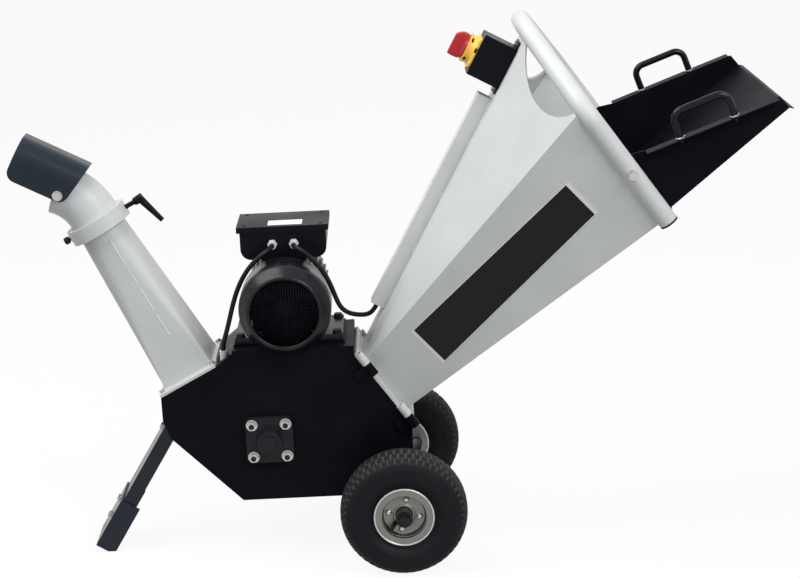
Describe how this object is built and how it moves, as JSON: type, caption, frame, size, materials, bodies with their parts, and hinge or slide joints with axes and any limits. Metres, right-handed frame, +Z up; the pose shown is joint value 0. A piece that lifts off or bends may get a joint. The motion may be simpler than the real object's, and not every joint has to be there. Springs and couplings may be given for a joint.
{
  "type": "garden shredder",
  "caption": "Wheeled electric garden shredder: knife drum in a welded housing, belt drive, hinged feed hopper with a folding tray, swivel discharge chute with a tilting deflector.",
  "frame": {"origin": "on the ground, in the middle of the track, under the wheel axle", "axes": "+X from the axle towards the feed tray, +Y towards the belt side, +Z up"},
  "size_m": [1.5486, 0.633, 1.1052],
  "materials": {
    "light_paint": "satin warm white-grey paint",
    "black_paint": "satin black paint",
    "motor_paint": "glossy black paint",
    "dark_paint": "glossy blue-black paint",
    "zinc": "bright zinc",
    "steel": "turned steel",
    "knife_steel": "ground tool steel",
    "iron": "rough machined",
    "tyre": "moulded rubber",
    "rubber": "smooth black rubber",
    "black_plastic": "moulded",
    "grey_plastic": "moulded",
    "yellow_plastic": "moulded",
    "red_plastic": "moulded",
    "blue_plastic": "moulded"
  },
  "bodies": {
    "chassis": {"side_plate_near": "black_paint", "side_plate_far": "black_paint", "housing_wrap": "black_paint", "deck_plate": "black_paint", "feed_floor": "black_paint", "anvil": "steel", "bearing_near": "iron", "bearing_far": "iron", "bearing_bolts": "zinc", "belt": "rubber", "belt_guard": "black_paint", "guard_posts": "zinc", "motor_slide": "black_paint", "motor_frame": "motor_paint", "motor_bolts": "zinc", "fan_cover": "motor_paint", "terminal_box": "black_plastic", "terminal_lid": "black_plastic", "cable_glands": "grey_plastic", "motor_cable": "rubber", "switch_cable": "rubber", "chute": "light_paint", "chute_bolts": "zinc", "collar": "light_paint", "leg": "dark_paint", "leg_shoe": "dark_paint", "leg_pad": "rubber", "leg_bolts": "zinc", "axle": "steel", "axle_fittings": "zinc", "housing_hinges": "black_paint"},
    "wheel_near": {"tyre_near": "tyre", "rim_near": "zinc"},
    "wheel_far": {"tyre_far": "tyre", "rim_far": "zinc"},
    "drum": {"drum_shaft": "steel", "drum": "iron", "knives": "knife_steel", "knife_bolts": "zinc", "drum_pulley": "iron"},
    "motor_rotor": {"motor_shaft": "steel", "motor_pulley": "iron", "cooling_fan": "black_plastic"},
    "hopper": {"hopper_shell": "light_paint", "hopper_bolts": "zinc", "rim_tube": "light_paint", "rim_caps": "rubber", "hopper_hinges": "light_paint", "cable_channel": "light_paint", "switch_box": "black_plastic", "switch_bezel": "yellow_plastic", "power_inlet": "blue_plastic", "tray_pivots": "zinc"},
    "tray": {"feed_tray": "black_paint", "tray_handles": "black_paint"},
    "switch": {"switch_knob": "red_plastic"},
    "elbow": {"elbow": "light_paint", "deflector_bolts": "zinc"},
    "deflector": {"deflector": "dark_paint"},
    "lever": {"clamp_lever": "black_plastic"}
  },
  "joints": [
    {"name": "wheel_near_spin", "type": "hinge", "parent": "chassis", "child": "wheel_near", "pos_m": [0, -0.215, 0.13], "axis": [0, 1, 0], "continuous": true},
    {"name": "wheel_far_spin", "type": "hinge", "parent": "chassis", "child": "wheel_far", "pos_m": [0, 0.215, 0.13], "axis": [0, 1, 0], "continuous": true},
    {"name": "drum_spin", "type": "hinge", "parent": "chassis", "child": "drum", "pos_m": [-0.272, 0, 0.256], "axis": [0, 1, 0], "continuous": true},
    {"name": "motor_spin", "type": "hinge", "parent": "chassis", "child": "motor_rotor", "pos_m": [-0.221, 0, 0.546], "axis": [0, 1, 0], "continuous": true},
    {"name": "hopper_swing", "type": "hinge", "parent": "chassis", "child": "hopper", "pos_m": [-0.02363, -0.104, 0.35566], "axis": [0.5736, 0, -0.8191], "range_deg": [0, 90], "deforming": ["switch_cable"]},
    {"name": "tray_fold", "type": "hinge", "parent": "hopper", "child": "tray", "pos_m": [0.46422, 0, 0.82727], "axis": [0, -1, 0], "range_deg": [0, 45]},
    {"name": "switch_turn", "type": "hinge", "parent": "hopper", "child": "switch", "pos_m": [0.25048, 0, 0.99474], "axis": [-0.8746, 0, 0.4848], "range_deg": [0, 90]},
    {"name": "elbow_swivel", "type": "hinge", "parent": "chassis", "child": "elbow", "pos_m": [-0.433, 0, 0.386], "axis": [-0.4618, 0, 0.887], "continuous": true},
    {"name": "deflector_tilt", "type": "hinge", "parent": "elbow", "child": "deflector", "pos_m": [-0.67181, 0, 0.78496], "axis": [0, -1, 0], "range_deg": [-12, 40]},
    {"name": "lever_turn", "type": "hinge", "parent": "chassis", "child": "lever", "pos_m": [-0.5131, 0, 0.75861], "axis": [0.887, 0, 0.4618], "range_deg": [-90, 90]}
  ],
  "couplings": [
    {"joint": "motor_spin", "follows": "drum_spin", "ratio": 1.5}
  ]
}
